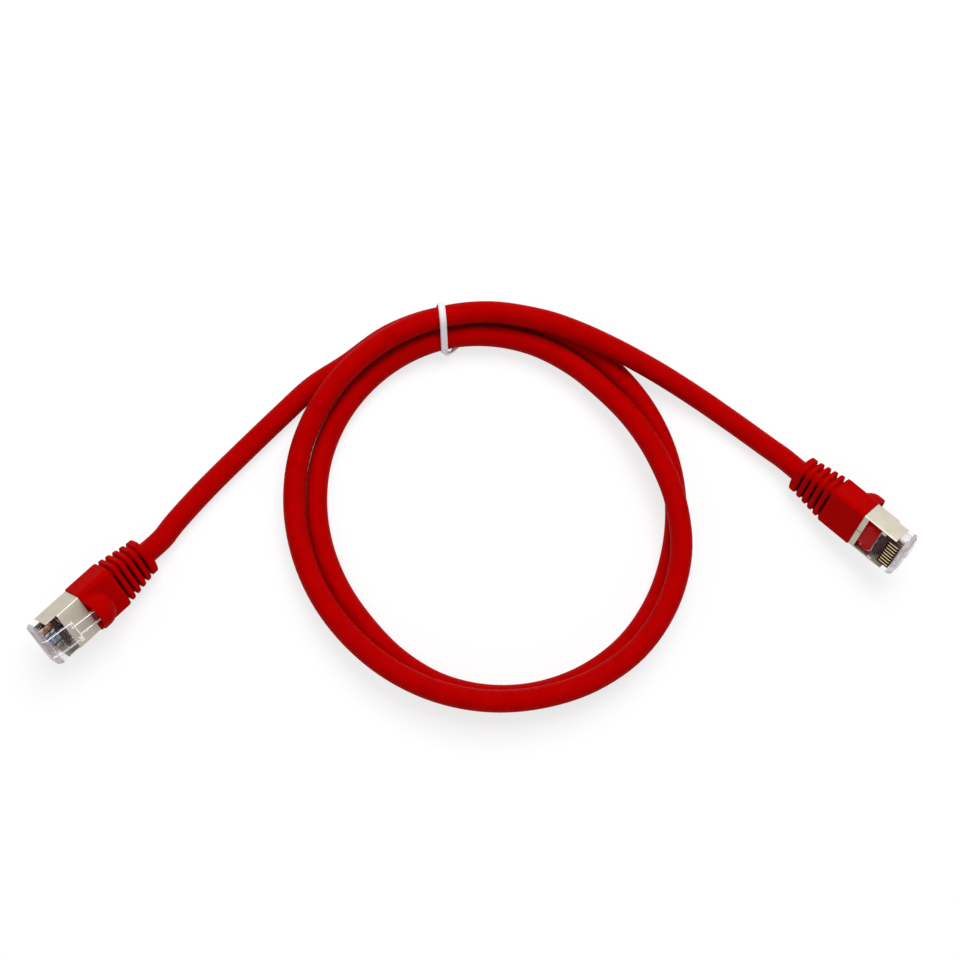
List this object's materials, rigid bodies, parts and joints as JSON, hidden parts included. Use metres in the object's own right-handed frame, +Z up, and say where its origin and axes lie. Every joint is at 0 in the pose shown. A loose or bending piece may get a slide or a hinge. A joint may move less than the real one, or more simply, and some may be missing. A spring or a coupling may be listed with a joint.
{
  "type": "ethernet patch cable",
  "caption": "Red shielded patch lead with a clear modular plug and ribbed boot on each end, wound into an open loop and held by a white tie.",
  "frame": {"origin": "middle of the two plugs' box, on the surface that the cable lies on", "axes": "+X from the left plug's side to the right plug's side, +Y from the plugs' noses towards the loop's tie, +Z up"},
  "size_m": [0.227, 0.1093, 0.0202],
  "materials": {
    "red_jacket": "satin",
    "red_boot": "satin",
    "foil": "satin",
    "tinned_copper": "satin",
    "shield_metal": "satin",
    "clear_plastic": "polished",
    "gold_contact": "polished",
    "white_coating": "glossy",
    "tie_steel": "satin",
    "insulation_white_orange": "satin",
    "insulation_orange": "satin",
    "insulation_white_green": "satin",
    "insulation_blue": "satin",
    "insulation_white_blue": "satin",
    "insulation_green": "satin",
    "insulation_white_brown": "satin",
    "insulation_brown": "satin"
  },
  "bodies": {
    "cable": {"jacket_leg_a": "red_jacket", "jacket_coil": "red_jacket", "jacket_leg_b": "red_jacket", "foil_screen": "foil", "drain_wire": "tinned_copper", "pair_brown": "insulation_brown", "pair_blue": "insulation_blue", "pair_orange": "insulation_orange", "pair_green": "insulation_green", "housing_a": "clear_plastic", "housing_b": "clear_plastic", "shield_a": "shield_metal", "shield_b": "shield_metal", "contacts_a": "gold_contact", "contacts_b": "gold_contact", "load_bar_a": "clear_plastic", "load_bar_b": "clear_plastic", "boot_a": "red_boot", "boot_b": "red_boot", "tie_coating": "white_coating", "tie_wire": "tie_steel", "wire_a_white_orange": "insulation_white_orange", "wire_a_orange": "insulation_orange", "wire_a_white_green": "insulation_white_green", "wire_a_blue": "insulation_blue", "wire_a_white_blue": "insulation_white_blue", "wire_a_green": "insulation_green", "wire_a_white_brown": "insulation_white_brown", "wire_a_brown": "insulation_brown", "wire_b_white_orange": "insulation_white_orange", "wire_b_orange": "insulation_orange", "wire_b_white_green": "insulation_white_green", "wire_b_blue": "insulation_blue", "wire_b_white_blue": "insulation_white_blue", "wire_b_green": "insulation_green", "wire_b_white_brown": "insulation_white_brown", "wire_b_brown": "insulation_brown"},
    "latch_a": {"latch_a": "clear_plastic"},
    "latch_b": {"latch_b": "clear_plastic"}
  },
  "joints": [
    {"name": "latch_a_press", "type": "hinge", "parent": "cable", "child": "latch_a", "pos_m": [-0.10775, -0.02505, 0.01634], "axis": [-0.4306, 0.6427, 0.6337], "range_deg": [0, 8], "stiffness_Nm_per_rad": 0.02},
    {"name": "latch_b_press", "type": "hinge", "parent": "cable", "child": "latch_b", "pos_m": [0.1121, 0.00168, 0.01263], "axis": [0.1793, 0.5009, 0.8468], "range_deg": [0, 8], "stiffness_Nm_per_rad": 0.02}
  ]
}
